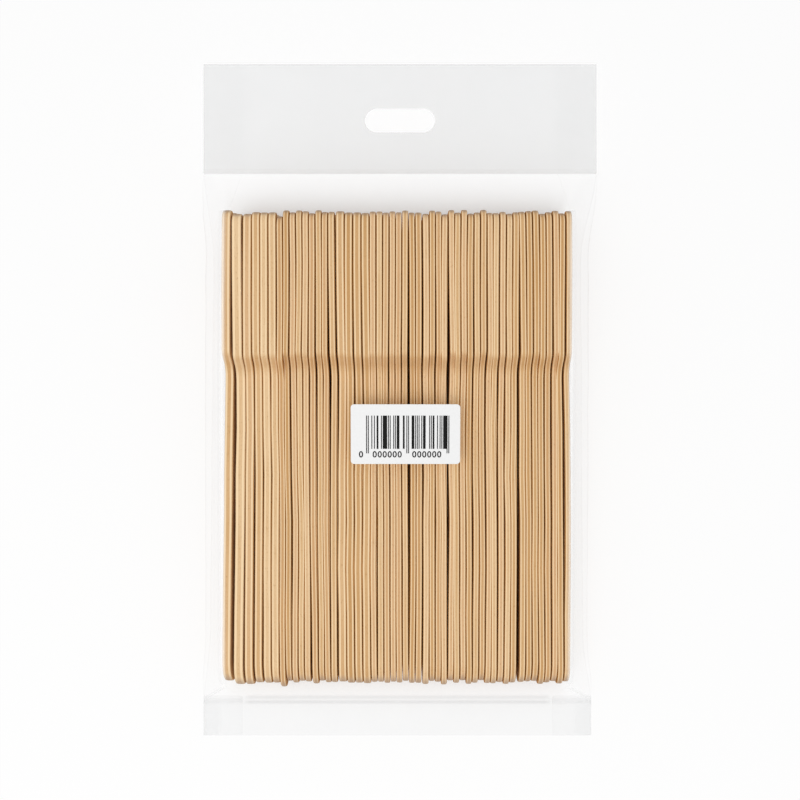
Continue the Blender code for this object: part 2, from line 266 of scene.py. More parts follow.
def plain_mesh(thing):
    """An object's evaluated shape as a mesh. The object itself is removed."""
    shape = thing.evaluated_get(bpy.context.evaluated_depsgraph_get())
    mesh = bpy.data.meshes.new_from_object(shape)
    bpy.data.objects.remove(thing)
    return mesh


def piece_from_nodes(name, start, geometry, finish, inputs):
    """A piece from a start mesh and a function that returns a Geometry Nodes tree's geometry.

    Each of the tree's named inputs comes as a kind of socket and a value.
    """
    inputs = {**inputs, "Finish": ("Material", finish)}
    group = bpy.data.node_groups.new(name, "GeometryNodeTree")
    for way in ("INPUT", "OUTPUT"):
        group.interface.new_socket("Geometry", in_out=way, socket_type="NodeSocketGeometry")
    keys = [group.interface.new_socket(
        label, in_out="INPUT", socket_type="NodeSocket" + kind).identifier
        for label, (kind, _) in inputs.items()]
    tree = Tree(group)
    real = tree.node("GeometryNodeRealizeInstances", None, {"Geometry": geometry(tree)})
    tree.node("NodeGroupOutput", None, {"Geometry": tree.node("GeometryNodeSetMaterial", None, {
        "Geometry": real, "Material": tree.given("Finish")})})
    thing = linked(name, start)
    modifier = thing.modifiers.new(name, "NODES")
    modifier.node_group = group
    for key, (_, value) in zip(keys, inputs.values()):
        modifier[key] = value
    piece = linked(name, plain_mesh(thing))
    print(name, "has", len(group.nodes), "nodes and", len(piece.data.polygons), "faces")
    return piece


def piece_from_shape(name, shape, finish=None):
    """A piece from a bmesh, with its faces turned outwards."""
    bmesh.ops.recalc_face_normals(shape, faces=shape.faces)
    mesh = bpy.data.meshes.new(name)
    shape.to_mesh(mesh)
    shape.free()
    if finish:
        mesh.materials.append(finish)
    print(name, "has", len(mesh.polygons), "faces")
    return linked(name, mesh)


# %% [markdown]
# ## The outline of one fork
#
# A fork of this kind is stamped from flat veneer, so its outline says nearly everything. Each
# corner is a point with a rounding radius, and one function turns such corners into a closed
# outline, for the fork and for the hang slot. Curves with handles could draw it too, but corners
# and radii are what a maker measures.


# %% Rounded outlines
SAME_POINT = 0.01


def rounded_outline(corners):
    """Turn (point, radius, steps) corners into a closed outline with an arc at each corner.

    A radius of None is the largest that half of the corner's shorter edge has room for.
    """
    outline = []
    for i, (corner, radius, steps) in enumerate(corners):
        here = Vector(corner)
        before = Vector(corners[i - 1][0]) - here
        after = Vector(corners[(i + 1) % len(corners)][0]) - here
        half_angle = before.angle(after) / 2
        room = min(before.length, after.length) / 2 * math.tan(half_angle)
        radius = room if radius is None else min(radius, room)
        before.normalize()
        after.normalize()
        centre = here + (before + after).normalized() * radius / math.sin(half_angle)
        start = here + before * radius / math.tan(half_angle) - centre
        end = here + after * radius / math.tan(half_angle) - centre
        sweep = start.angle_signed(end)
        for step in range(steps + 1):
            spoke = start.copy()
            spoke.rotate(Matrix.Rotation(-sweep * step / steps, 2))
            outline.append(centre + spoke)
    return [p for i, p in enumerate(outline) if (p - outline[i - 1]).length > SAME_POINT]


def fork_outline():
    """The fork seen flat: x is the distance from the handle end, y the offset from its axis."""
    half_head = HEAD_WIDTH / 2
    tine_width = (HEAD_WIDTH - (TINE_COUNT - 1) * TINE_SLOT_WIDTH) / TINE_COUNT
    shoulder = FORK_LENGTH - HEAD_LENGTH
    slot_floor = FORK_LENGTH - TINE_SLOT_DEPTH
    side = [((0, HANDLE_END_WIDTH / 2), None, 10),
            ((shoulder - SHOULDER_LENGTH, NECK_WIDTH / 2), NECK_RADIUS, 6),
            ((shoulder, half_head), SHOULDER_RADIUS, 5)]
    corners = [((x, -y), radius, steps) for (x, y), radius, steps in side]
    for tine in range(TINE_COUNT):
        low = -half_head + tine * (tine_width + TINE_SLOT_WIDTH)
        high = low + tine_width
        for edge, outer in ((low, tine == 0), (high, tine == TINE_COUNT - 1)):
            radius = OUTER_TIP_RADIUS if outer else TINE_TIP_RADIUS
            corners.append(((FORK_LENGTH, edge), radius, 5))
        if tine < TINE_COUNT - 1:
            corners.append(((slot_floor, high), TINE_SLOT_RADIUS, 4))
            corners.append(((slot_floor, high + TINE_SLOT_WIDTH), TINE_SLOT_RADIUS, 4))
    return rounded_outline(corners + side[::-1])


outline = fork_outline()
print("fork outline points:", len(outline))

# %% [markdown]
# ## One fork as a solid blank
#
# Stamped forks are tumbled, which rounds their arrises by about half a millimetre. On edge, as in
# the pack, those soft arrises are most of what is seen. A bevelled slab would have them too, but
# here the shader has to know where they are, to paint a highlight along them. So the blank is built
# from rings: each ring is the outline, moved inwards as far as the arris curve says at that depth,
# and it carries two numbers for the wood shader: how near it is to an arris, and how far along the
# fork.


# %% Build the blank
ARRIS = 0.4
ARRIS_STEPS = 2
FLAT_RIM, ARRIS_RIM = 0.3, 1.0
BLANK_THICKNESS = 1.75
BEND_STEP = 16.0


def divided(points, step):
    """The outline with extra points on its long straight edges, so that the fork can bend."""
    result = []
    for here, there in zip(points, points[1:] + points[:1]):
        parts = max(1, round((there - here).length / step))
        result += [here.lerp(there, k / parts) for k in range(parts)]
    return result


def inset(points, depth):
    """The outline moved inwards by a depth."""
    result = []
    for i, point in enumerate(points):
        along = (points[(i + 1) % len(points)] - points[i - 1]).normalized()
        result.append(point + Vector((-along.y, along.x)) * depth)
    return result


def fork_blank():
    """A fork on edge at the origin: length along Y, width along Z, thickness along X."""
    points = divided(outline, BEND_STEP)
    quarter = [math.pi / 2 * k / ARRIS_STEPS for k in range(ARRIS_STEPS + 1)]
    half = BLANK_THICKNESS / 2
    arc = [(half - ARRIS * (1 - math.cos(a)), ARRIS * (1 - math.sin(a))) for a in quarter]
    rims = [FLAT_RIM] + [ARRIS_RIM] * ARRIS_STEPS
    levels = [(-x, depth, rim) for (x, depth), rim in zip(arc, rims)]
    levels += [(0.0, 0.0, 0.0)] + [(-x, depth, rim) for x, depth, rim in levels[::-1]]
    mesh = bmesh.new()
    rim_of = mesh.verts.layers.float.new("rim")
    along_of = mesh.verts.layers.float.new("along")
    rings = []
    for x, depth, rim in levels:
        ring = [mesh.verts.new(Vector((x, p.x, p.y)) * MM) for p in inset(points, depth)]
        for corner, point in zip(ring, points):
            corner[rim_of] = rim
            corner[along_of] = point.x / FORK_LENGTH
        rings.append(ring)
    for low, high in zip(rings, rings[1:]):
        for i in range(len(low)):
            mesh.faces.new((low[i - 1], low[i], high[i], high[i - 1])).smooth = True
    mesh.faces.new(rings[0])
    mesh.faces.new(rings[-1][::-1])
    return piece_from_shape("fork_blank", mesh)


blank = fork_blank()

# %% [markdown]
# ## Where each fork stands
#
# Every fork solid is a straight slab, so a plane through its corners gives its turn and its lean,
# and the spread about that plane its thickness. Its tilt follows from rest: a fork on edge touches
# the table on the two outline points either side of its centre of area. The solids keep a distance
# that real forks don't, so each finished fork takes a share of the gaps beside it.


# %% Measure the forks
GAP_TAKEN = 0.24
Place = namedtuple("Place", "foot turn lean thickness")


def hull_chain(points, side):
    """The lower (side 1) or upper (side -1) chain of the points' convex hull, along +x."""
    chain = []
    for point in sorted(points, key=lambda p: (p[0], side * p[1])):
        while len(chain) > 1:
            (ax, ay), (bx, by) = chain[-2], chain[-1]
            if side * ((bx - ax) * (point[1] - ay) - (by - ay) * (point[0] - ax)) > 0:
                break
            chain.pop()
        chain.append((point[0], point[1]))
    return chain


def resting_tilt(points):
    """Tilt that lays the fork's lower edge on the table."""
    area = moment = 0.0
    for here, there in zip(points, points[1:] + points[:1]):
        cross = here.x * there.y - there.x * here.y
        area += cross
        moment += cross * (here.x + there.x) / 3
    chain = hull_chain(points, 1)
    (ax, ay), (bx, by) = next(pair for pair in zip(chain, chain[1:]) if pair[1][0] >= moment / area)
    return -math.atan2(by - ay, bx - ax)


def tilted(point):
    """An outline point's distance along the pack and height, for a fork lying at rest."""
    return (point[0] * math.cos(tilt) - point[1] * math.sin(tilt),
            point[0] * math.sin(tilt) + point[1] * math.cos(tilt))


def fork_place(name):
    """The foot's place, the turn, the lean and the thickness of a fork solid, in millimetres."""
    corners = np.array([corner.co for corner in solids[name].data.vertices]) / MM
    unknowns = np.column_stack([corners[:, 1:], np.ones(len(corners))])
    (slope, rise, start), *_ = np.linalg.lstsq(unknowns, corners[:, 0], rcond=None)
    spread = np.abs(corners[:, 0] - unknowns @ (slope, rise, start))
    y, z = corners[:, 1].min() - reach_low, corners[:, 2].min() - drop
    return Place((slope * y + rise * z + start, y, z), math.atan(-slope), math.atan(rise),
                 2 * spread.mean())


def stand(place):
    """Where a fork stands across the row, halfway along it and at its upper edge."""
    return (place.foot[0] - math.tan(place.turn) * FORK_LENGTH / 2
            + math.tan(place.lean) * HANDLE_END_WIDTH)


def closed_up(places):
    """Thicken every fork into the gaps beside it."""
    gaps = [stand(b) - stand(a) - (a.thickness + b.thickness) / 2
            for a, b in zip(places, places[1:])]
    taken = [0.0] + [gap * GAP_TAKEN for gap in gaps] + [0.0]
    result = []
    for place, left, right in zip(places, taken, taken[1:]):
        x, y, z = place.foot
        result.append(place._replace(foot=(x + (right - left) / 2, y, z),
                                     thickness=place.thickness + left + right))
    return result


tilt = resting_tilt(outline)
reach_low = min(tilted(point)[0] for point in outline)
drop = min(tilted(point)[1] for point in outline)
places = closed_up([fork_place(name) for name in fork_names])
print("tilt:", round(math.degrees(tilt), 2), "degrees, thickest fork:",
      round(max(place.thickness for place in places), 2), "mm")

# %% [markdown]
# ## The birch finish
#
# Cut veneer edges show long fibres, fine specks and a slow drift of tone, and the ends show greyer
# end grain. The tumbled arrises get a painted highlight and the rest a little painted shade, for
# how light falls on rounded edges. Sides that face each other get painted reddish shade, for the
# dim light between the forks, and slopes along the fork, as at the neck, get painted shade. The
# sheets come from different logs, so each fork has its own tone. A picture of wood would repeat on
# fifty forks, while noise read at each fork's own place never does.
# The finish is a base colour under thin coats, each with its share matched to the photograph.


# %% Write the wood shader
CREAM = (1.0, 0.77, 0.49)
STRAW = (0.76, 0.50, 0.26)
TAN = (0.60, 0.34, 0.14)
RUSSET = (0.34, 0.16, 0.05)
BLUSH = (0.74, 0.45, 0.25)
# reddish painted shade for the sides of forks that face into the gaps
GAP_SHADE = (0.48, 0.20, 0.025)
END_GRAIN = (0.46, 0.33, 0.24)
LOG_SHIFTS = (3.1, 7.3, 1.7)
GRAIN_ROUGHNESS = 0.6


def birch(tree):
    """Birch veneer, with the grain along Y, a tone for each fork, painted highlights on the arrises
    and painted shade between forks and on slopes.
    """
    tone, rim, along = (tree.attribute(name) for name in ("tone", "rim", "along"))
    own = tree.vector(*(tone * shift for shift in LOG_SHIFTS))
    place = tree.node("ShaderNodeVectorMath", {"operation": "ADD"}, {0: tree.position(), 1: own})

    def grain(scale, stretch, detail):
        stretched = tree.node("ShaderNodeVectorMath", {"operation": "MULTIPLY"}, {
            0: place, 1: (1.0, stretch, 1.0)})
        return tree.noise(stretched, scale, detail, GRAIN_ROUGHNESS)

    drift = grain(160.0, 0.12, 2.0)
    fibre = grain(2600.0, 0.02, 3.0)
    speck = grain(3000.0, 0.4, 2.0)
    normal = tree.node("ShaderNodeNewGeometry", output="Normal")
    side, slope = abs(tree.part(normal, "X")), abs(tree.part(normal, "Y"))
    at_end = tree.banded(abs(along - 0.5), 0.46, 0.48)
    # share of the painted gap shade: less on the flat sides than on the rounded edges
    gap_shade_share = 0.9 - tree.banded(side, 0.97, 0.99) * 0.55
    colour = tree.node("ShaderNodeValToRGB", {
        "stops": [(0.0, TAN), (0.45, STRAW), (1.0, CREAM)]},
        {0: tone * 0.65 + (drift - 0.5) * 0.8}, "Color")
    coats = (
        (tree.attribute("blush") * 0.7, BLUSH),
        # painted shade on all but the arrises, so that the painted arris highlight stands out
        (tree.banded(rim, 0.95, 0.6) * 0.25, TAN),
        (tree.banded(fibre, 0.46, 0.28) * 0.5, TAN),
        (tree.banded(speck, 0.42, 0.30) * 0.35, RUSSET),
        # painted highlight along the rounded arrises
        (tree.banded(rim, 0.65, 0.95) * 0.85, CREAM),
        # painted reddish shade on sides that face another fork, less where a leaning fork stands
        # apart
        (tree.banded(side, 0.33, 0.8) * gap_shade_share * (1.0 - tree.attribute("apart")), GAP_SHADE),
        # painted shade on surfaces that slope along the fork, as at the neck and shoulder
        (tree.banded(slope, 0.1, 0.8) * (1.0 - at_end) * 0.35, TAN),
        (tree.banded(slope, 0.5, 0.9) * at_end * 0.75, END_GRAIN))
    for cover, coat in coats:
        colour = tree.mixed(cover, colour, coat)
    return tree.node("ShaderNodeBsdfPrincipled", None, {
        "Base Color": colour, "Roughness": 0.78 - fibre * 0.25, "Specular IOR Level": 0.05,
        "Normal": tree.bump(fibre * 0.6 + speck * 0.4, 0.25, 0.0002)})


wood = finish_from("birch", birch)

# %% [markdown]
# ## The row of forks
#
# One blank repeated fifty times is a job for Geometry Nodes. Fifty copied objects would look the
# same, but a tree keeps the rule in one place. Each point is a fork's foot and carries its turn,
# thickness and tone. The tree puts the blank there, makes it real and bows it, partly with its
# neighbours and partly by its own chance amount.


# %% Build the row's tree
OWN_SWAY = 0.8
SHARED_SWAY = 6.0
SWAY_PER_FORK = 0.13
SWAY_ALONG = 2.5


def fork_row(tree):
    """The blank on every point, turned, leaned, thickened and bowed."""
    turned = tree.vector(tree.given("Tilt"), tree.stored("lean"), tree.stored("turn"))
    rotation = tree.node("FunctionNodeEulerToRotation", None, {0: turned})
    shape = tree.node("GeometryNodeObjectInfo", None, {"Object": tree.given("Fork")}, "Geometry")
    copies = tree.node("GeometryNodeInstanceOnPoints", None, {
        "Points": tree.given("Geometry"), "Instance": shape, "Rotation": rotation,
        "Scale": tree.vector(tree.stored("stretch"), 1.0, 1.0)})
    real = tree.node("GeometryNodeRealizeInstances", None, {"Geometry": copies})
    number, along = tree.stored("number", "INT"), tree.stored("along")
    own = tree.node("FunctionNodeRandomValue", {"data_type": "FLOAT"}, {
        "Min": -1.0, "Max": 1.0, "ID": number, "Seed": tree.given("Seed")})
    shared = tree.noise(tree.vector(number * SWAY_PER_FORK, along * SWAY_ALONG), 1.0, 2.0)
    sway = own * OWN_SWAY + (shared - 0.5) * SHARED_SWAY
    across = tree.vector(sway * tree.given("Bow") * along * (1.0 - along) * 4.0)
    return tree.node("GeometryNodeSetPosition", None, {"Geometry": real, "Offset": across})


# %% [markdown]
# ### Fifty points with their own values
#
# No two forks look alike, so each point draws a tone and a blush by a fixed seed. The forks that
# stand out in the photograph, orange or pale, are named by number. A fork that leans stands apart
# from its neighbour, so less reddish painted shade goes on its side.


# %% Stand the forks in their row
BOW = 0.45
ROW_SEED = 5
TONES = (0.05, 1.15)
ORANGE_FORKS, DARKER = (4, 7, 8, 26, 35, 44, 47), 0.4
PALE_FORKS, PALER = (2, 5, 22, 28, 33), 0.3
FREE_LEAN = 0.03

draw = random.Random(ROW_SEED)
feet = bpy.data.meshes.new("feet")
feet.from_pydata([Vector(place.foot) * MM for place in places], [], [])
columns = {
    "turn": [place.turn for place in places],
    "lean": [place.lean for place in places],
    "stretch": [place.thickness / BLANK_THICKNESS for place in places],
    "tone": [draw.uniform(*TONES) - DARKER * (n in ORANGE_FORKS) + PALER * (n in PALE_FORKS)
             for n in range(1, len(places) + 1)],
    "blush": [draw.random() ** 2 for _ in places],
    "apart": [min(1.0, abs(place.lean) / FREE_LEAN) for place in places]}
for name, values in columns.items():
    feet.attributes.new(name, "FLOAT", "POINT").data.foreach_set("value", values)
feet.attributes.new("number", "INT", "POINT").data.foreach_set("value", range(len(places)))
row = piece_from_nodes("fork_row", feet, fork_row, wood, {
    "Fork": ("Object", blank), "Tilt": ("Float", tilt), "Bow": ("Float", BOW * MM),
    "Seed": ("Int", ROW_SEED)})
bpy.data.objects.remove(blank)

# %% [markdown]
# ## The film tube
#
# The bag is one extruded tube with a tuck pressed into each side. It lies taut over the forks, so
# seen from the side its front and back are the convex hull of the forks and of the two welds. A
# section across it is a flat front, a soft shoulder to the crease, the tuck going in and out, and
# the flat back. Lofting such sections from the flap up into the header gives the whole tube.


# %% The film's profile along the pack
def mix(a, b, share):
    """The value a share of the way from a to b."""
    return a + (b - a) * share


def smooth(share):
    """Ease a share from 0 to 1 with level ends."""
    share = min(max(share, 0.0), 1.0)
    return share * share * (3 - 2 * share)


weld = strip_low.y
header_top = strip_high.y
weld_height = (strip_low.z + strip_high.z) / 2
half_strip = (strip_high.z - strip_low.z) / 2
flat_half = (strip_high.x - strip_low.x) / 2
header_axis = (strip_high.x + strip_low.x) / 2
row_low, row_high = box_in_mm(fork_names[0])[0], box_in_mm(fork_names[-1])[1]
flap_end = box_in_mm("bag_film")[0].y
body_axis = -header_axis
seal = flap_end + FLAP_HEIGHT
fork_end = seal + BOTTOM_EASE
fork_tip = fork_end + FORK_LENGTH
lift = places[-1].foot[2]

SPOKES = 24
reach = CLEARANCE + FILM / 2
spokes = [(reach * math.cos(math.tau * k / SPOKES), reach * math.sin(math.tau * k / SPOKES))
          for k in range(SPOKES)]
around = []
for slide in (min(place.foot[1] for place in places), max(place.foot[1] for place in places)):
    for point in outline:
        y, z = tilted(point)
        around += [(slide + y + dy, lift + z + dz) for dy, dz in spokes]
foot_front = max(z for y, z in around if y < fork_end + HANDLE_END_WIDTH / 2)
ends = [(seal + SEAL_WIDTH / 2, foot_front * WELD_LEVEL), (weld, weld_height)]
flat_back = [(fork_tip - BACK_LIFT, FILM / 2), (fork_end + HANDLE_END_WIDTH / 2, FILM / 2)]
front_chain = hull_chain(around + [(y, z + HALF_STACK) for y, z in ends], -1)
back_chain = hull_chain(around + flat_back + [(y, z - HALF_STACK) for y, z in ends], 1)


def on_chain(chain, y):
    """Height of a chain of points at a place along the pack."""
    return float(np.interp(y, [p[0] for p in chain], [p[1] for p in chain]))


print("film: front up to", round(max(z for _, z in front_chain), 2), "mm, weld at", weld_height)

# %% [markdown]
# ### One section of the tube
#
# Each side of a section is a few short curves, and each curve is sampled on its own, so that the
# creases stay sharp and always lie on the same row of points. A cloth simulation could drape the
# film too, but a drawn section keeps the tucks where a real bag has them.


# %% Draw the sections
FLAT_STEPS = 26
SHOULDER_STEPS = 8
CREASE_STEPS = 2
TUCK_STEPS = 6
BACK_SHOULDER_STEPS = 5
BACK_STEPS = 10
CREASE_ROWS = [FLAT_STEPS + SHOULDER_STEPS + 1 + n * (CREASE_STEPS + TUCK_STEPS) for n in range(3)]
SHOULDER, RIDGE_SETBACK = 0.6, 0.5
TUCK_SAG = 0.018


def curve(points, count):
    """Points on a Bezier curve of any degree, without its last point."""
    samples = []
    for k in range(count):
        level = [Vector(p) for p in points]
        while len(level) > 1:
            level = [a.lerp(b, k / count) for a, b in zip(level, level[1:])]
        samples.append(level[0])
    return samples


def crease_curve(x, z, outwards):
    """The film's turn round a crease, one layer further down at its end."""
    return curve([(x, z), (x + outwards * LAYER / 2, z - LAYER / 2), (x, z - LAYER)], CREASE_STEPS)


def side_of_section(side, y):
    """The film down one side of a section, from the middle of the front to that of the back."""
    front, back = on_chain(front_chain, y), on_chain(back_chain, y)
    top, bottom = fork_tip + END_STAND_OFF, fork_end - END_STAND_OFF
    closing = min(max((y - top) / (weld - top),
                      (bottom - y) / (bottom - seal - SEAL_WIDTH / 2), 0.0), 1.0)
    flare_top = (y - fork_tip + FLARE_LENGTH) / (weld - fork_tip + FLARE_LENGTH)
    flare_end = (fork_end + FLARE_LENGTH - y) / (fork_end + FLARE_LENGTH - seal)
    flare = smooth(max(flare_top, flare_end))
    share = min(max((y - fork_end) / FORK_LENGTH, 0.0), 1.0)
    place = places[0] if side < 0 else places[-1]
    at_fork = place.foot[0] - math.tan(place.turn) * share * FORK_LENGTH - body_axis
    top_edge = mix(HANDLE_END_WIDTH / 2, HEAD_WIDTH - HANDLE_END_WIDTH / 2, share)
    face = abs(at_fork + side * place.thickness / 2 + top_edge * math.sin(place.lean))
    depth = front - back - 2 * HALF_STACK
    crease = mix(face + SIDE_STAND_OFF, flat_half, flare)
    ridge = mix(face + CLEARANCE + FILM, crease - SHOULDER, closing) - RIDGE_SETBACK
    fold = mix(face + GUSSET_STAND_OFF, flat_half - GUSSET_TUCK, closing)
    upper, lower = front - CREASE_SHARE * depth, back + CREASE_SHARE * depth
    middle = (front + back) / 2
    tuck = mix(crease, fold, 0.5) - TUCK_SAG * depth * (1 - closing)
    runs = [curve([(0, front), (ridge, front)], FLAT_STEPS),
            curve([(ridge, front), (mix(ridge, crease, 0.6), front),
                   (crease, mix(front, upper, 0.5)), (crease, upper)], SHOULDER_STEPS),
            crease_curve(crease, upper, 1),
            curve([(crease, upper - LAYER), (tuck, mix(upper, middle, 0.5)),
                   (fold, middle + LAYER / 2)], TUCK_STEPS),
            crease_curve(fold, middle + LAYER / 2, -1),
            curve([(fold, middle - LAYER / 2), (tuck, mix(lower, middle, 0.5)),
                   (crease, lower + LAYER)], TUCK_STEPS),
            crease_curve(crease, lower + LAYER, 1),
            curve([(crease, lower), (mix(ridge, crease, 0.75), mix(back, lower, 0.45)),
                   (ridge, back)], BACK_SHOULDER_STEPS),
            curve([(ridge, back), (0, back)], BACK_STEPS)]
    shift = body_axis + 2 * header_axis * smooth(flare_top)
    points = [(shift + side * p.x, y, p.y) for run in runs for p in run]
    return points + [(shift, y, back)], closing, ridge


SLOT_MARGIN = 0.6
BELOW_FOLD = 0.8
WELD_MARGIN = 0.5
SHORTEST_STEP, LONGEST_STEP = 0.4, 2.0


def stations():
    """Places along the pack where the tube gets a section."""
    slot_y, slot_rise = header_top - SLOT_BELOW_TOP, SLOT_HEIGHT / 2 + SLOT_MARGIN
    bends = {flap_end, seal - SEAL_WIDTH / 2, seal, seal + SEAL_WIDTH / 2, weld,
             header_top - BELOW_FOLD, slot_y - slot_rise, slot_y + slot_rise}
    bends |= {y for chain in (front_chain, back_chain) for y, _ in chain
              if seal + SEAL_WIDTH < y < weld - WELD_MARGIN}
    bends = sorted(bends)
    spots = [bends[0]]
    for bend in bends[1:]:
        start = spots[-1]
        if bend - start < SHORTEST_STEP:
            continue
        parts = max(1, round((bend - start) / LONGEST_STEP))
        spots += [mix(start, bend, k / parts) for k in range(1, parts + 1)]
    return spots


spots = stations()
print("film sections:", len(spots), "of", 2 * len(side_of_section(1, 0.0)[0]) - 2, "points")

# %% [markdown]
# ### Wrinkles and the loft
#
# Film that is pulled to a weld buckles. Small pleats start at the welds and die out towards the
# forks, and the loose margins ripple. Over the forks the film is taut and stays as it is. Bump in
# the shader wouldn't show at the outline, so the points themselves are moved. Each point also keeps
# its distance from the creases and ridges, for the shader.


# %% Loft the tube
PLEAT = 0.5
PLEAT_WIDTH, PLEAT_LENGTH = 5.0, 30.0
WELD_PLEATS, SEAL_PLEATS = 7.0, 4.0
HELD = 2.0
RIPPLE = 0.35
RIPPLE_WIDTH, RIPPLE_LENGTH, RIPPLE_SHIFT = 9.0, 11.0, 40.0
SIDE_PUSH, SIDE_ROWS = 0.6, 4
EDGE_ROWS = 2
LOOSE_BAND = 3.0
TUCK_BAND, TUCK_FADE = 4.0, 2.0
FAR = 20.0


def wrinkle(x, y, z, loose):
    """How far the film stands off its smooth shape at a point, in millimetres."""
    to_weld = math.exp(-abs(weld - y) / WELD_PLEATS) if fork_tip < y < weld else 0.0
    to_seal = math.exp(-abs(y - seal) / SEAL_PLEATS) if seal < y < fork_end else 0.0
    fixed = min(1.0, abs(weld - y) / HELD, abs(y - seal) / HELD)
    pleats = noise.noise((x / PLEAT_WIDTH, y / PLEAT_LENGTH, z / PLEAT_LENGTH))
    ripple = noise.noise((x / RIPPLE_WIDTH, y / RIPPLE_LENGTH + RIPPLE_SHIFT, z / RIPPLE_WIDTH))
    return (PLEAT * pleats * (to_weld + to_seal) + RIPPLE * loose * ripple) * fixed


def film_tube(name, finish):
    """Loft the sections and keep what the shader needs to know about each point."""
    shape = bmesh.new()
    layers = {key: shape.verts.layers.float.new(key)
              for key in ("crease", "ridge", "edge", "loose", "tucked")}
    rings = []
    for y in spots:
        right, left = side_of_section(1, y), side_of_section(-1, y)
        last = len(right[0]) - 1
        ring = []
        for (points, closing, ridge), row in ([(right, row) for row in range(last + 1)]
                                              + [(left, row) for row in range(last - 1, 0, -1)]):
            x, _, z = points[row]
            off = abs(x - body_axis)
            loose = smooth((off - ridge + LOOSE_BAND) / LOOSE_BAND) * (seal <= y <= weld)
            push = wrinkle(x, y, z, loose * (1 - closing * 0.5))
            out = row < CREASE_ROWS[0] - SIDE_ROWS
            side = 0.0 if out else math.copysign(SIDE_PUSH, x)
            corner = shape.verts.new(Vector((x + side * push, y, z + out * push)) * MM)
            in_corner = seal < y < fork_end and row <= FLAT_STEPS + SHOULDER_STEPS
            on_row = fork_end < y < fork_tip and row <= FLAT_STEPS + EDGE_ROWS
            in_tuck = y < seal and CREASE_ROWS[0] < row < CREASE_ROWS[2]
            known = {"crease": min(math.dist(points[row], points[r]) for r in CREASE_ROWS),
                     "ridge": abs(off - ridge) if in_corner else FAR,
                     "edge": abs(off - ridge) if on_row else FAR,
                     "loose": loose,
                     "tucked": smooth((flat_half - off - TUCK_BAND) / TUCK_FADE) * in_tuck}
            for key, value in known.items():
                corner[layers[key]] = value
            ring.append(corner)
        rings.append(ring)
    for low, high in zip(rings, rings[1:]):
        for i in range(len(low)):
            quad = (low[i - 1], low[i], high[i], high[i - 1])
            middle = sum((corner.co for corner in quad), Vector()) / 4 / MM
            if (abs(middle.x - header_axis) > SLOT_WIDTH / 2 + SLOT_MARGIN
                    or abs(middle.y - header_top + SLOT_BELOW_TOP) > SLOT_HEIGHT / 2 + SLOT_MARGIN):
                shape.faces.new(quad).smooth = True
    return piece_from_shape(name, shape, finish)


# %% [markdown]
# ## The clear film finish
#
# Thin clear film hides almost nothing where it lies flat. What makes it visible is what it does at
# folds: a crease scatters light and looks pale, loose film shows a faint haze, and every surface
# mirrors more at a glancing angle. A glass shader would bend what is behind, as a thick pane does,
# so this one starts from a transparent surface and adds haze near creases, ridges and the seal, a
# painted white highlight along the ridges and where the film turns over the outer forks, and gloss
# by angle. Film this thin takes next to no light from what is under it, so it is left out of
# shadows and of bounced light.


# %% Write the film shader
HAZE = (0.64, 0.65, 0.66)
# white for the painted highlight on the film's ridges
FOLD_HIGHLIGHT = (1.0, 1.0, 1.0)
SEAL_GREY = (0.50, 0.51, 0.52)
MIRROR_TINT = (0.9, 0.9, 0.9)
CREASE_WIDTH, RIDGE_WIDTH, EDGE_WIDTH = 0.7, 1.5, 1.7
SEAL_LINE_WIDTH, FLAP_FADE, PRESSED_FADE = 1.1, 0.8, 3.0


def clear_film(tree):
    """Glossy, thin, clear film that turns hazy at its folds, with painted highlights on its ridges.
    """
    position = tree.position()
    across, along = tree.part(position, "X") / MM, tree.part(position, "Y") / MM
    cloud = tree.noise(position, 90.0, 3.0)
    ridge = tree.near(tree.attribute("ridge"), RIDGE_WIDTH)
    edge = tree.near(tree.attribute("edge"), EDGE_WIDTH)
    past_tuck = abs(across - body_axis) - (flat_half - GUSSET_TUCK - PRESSED_FADE)
    pressed = 0.3 + tree.near(past_tuck, PRESSED_FADE) * 0.7
    seal_line = tree.near(abs(abs(along - seal) - SEAL_WIDTH / 2), SEAL_LINE_WIDTH) * pressed
    flap = tree.near(along - seal, FLAP_FADE)
    crease = tree.near(tree.attribute("crease"), CREASE_WIDTH) * (1.0 - flap)
    flap = flap * (1.0 - tree.attribute("tucked") * 0.7)
    haze = (0.002 + tree.attribute("loose") * (0.004 + 0.014 * cloud) + flap * (0.07 + 0.05 * cloud)
            + crease * 0.02 + edge * 0.4 + ridge * 0.45 + seal_line * 0.14)
    # painted highlight: white along the ridges at the lower corners and where the film turns over
    # the outer forks, made visible by the edge and ridge shares of the haze above
    highlighted = tree.mixed(ridge.math("MAXIMUM", ridge, edge), HAZE, FOLD_HIGHLIGHT)
    bump = tree.bump(cloud, 0.2, 0.0005)
    body = tree.node("ShaderNodeBsdfPrincipled", None, {
        "Base Color": tree.mixed(seal_line, highlighted, SEAL_GREY), "Roughness": 0.15,
        "Normal": bump, "Alpha": haze})
    mirror = tree.node("ShaderNodeBsdfAnisotropic", None, {
        "Color": MIRROR_TINT, "Roughness": 0.08, "Normal": bump})
    glancing = tree.node("ShaderNodeLayerWeight", None, {"Blend": 0.5}, "Facing")
    gloss = glancing.math("POWER", glancing, 5.0) * (0.6 - crease * 0.5) * (1.0 - ridge)
    return tree.node("ShaderNodeMixShader", None, {0: gloss, 1: body, 2: mirror})


film = film_tube("film_tube", finish_from("clear_film", clear_film))
film.visible_shadow = False
film.visible_diffuse = False

# %% [markdown]
# ## The header strip
#
# The header is a strip of stiffer frosted film, folded over the tube's top and welded along its
# lower edge. It is so thin that a single folded sheet shows it best. A Boolean could cut the slot,
# but filling between two loops of edges gives a cleaner mesh. Each leaf is such a rectangle with a
# hole, and a narrow bend joins the two.


# %% Build the strip
STRIP = 0.2
BEND_STEPS = 6
SQUARE = ((-1, -1), (1, -1), (1, 1), (-1, 1))


